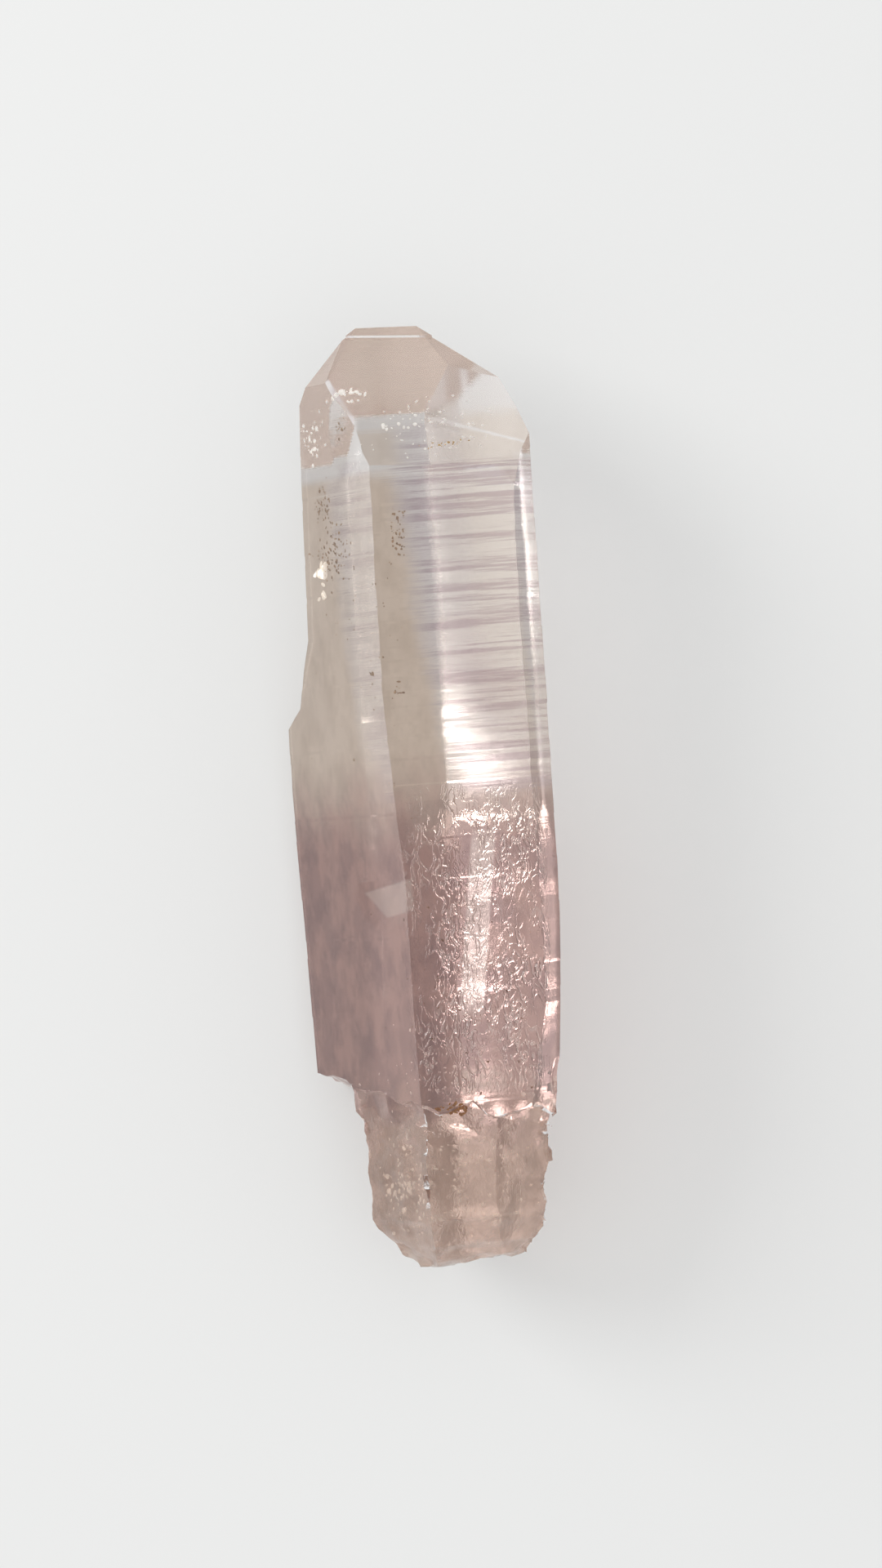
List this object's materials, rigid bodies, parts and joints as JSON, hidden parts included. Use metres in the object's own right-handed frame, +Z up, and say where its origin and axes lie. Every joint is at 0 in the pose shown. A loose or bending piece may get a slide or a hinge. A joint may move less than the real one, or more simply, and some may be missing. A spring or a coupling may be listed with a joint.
{
  "type": "smoky quartz crystal",
  "caption": "Pale smoky quartz crystal: a long six-sided striated prism with a slanted tip and a broken, narrower stub, lying on its flat rear face for display.",
  "frame": {"origin": "middle of the bounding box's base, on the surface the crystal lies on", "axes": "+Y along the crystal to its tip, +Z up through its front face, +X to the right when seen from above with the tip at the top"},
  "size_m": [0.0297, 0.1066, 0.0244],
  "materials": {
    "smoky_quartz": "clear, glossy natural faces with fine growth lines"
  },
  "bodies": {
    "root": {"crystal": "smoky_quartz"}
  },
  "joints": []
}
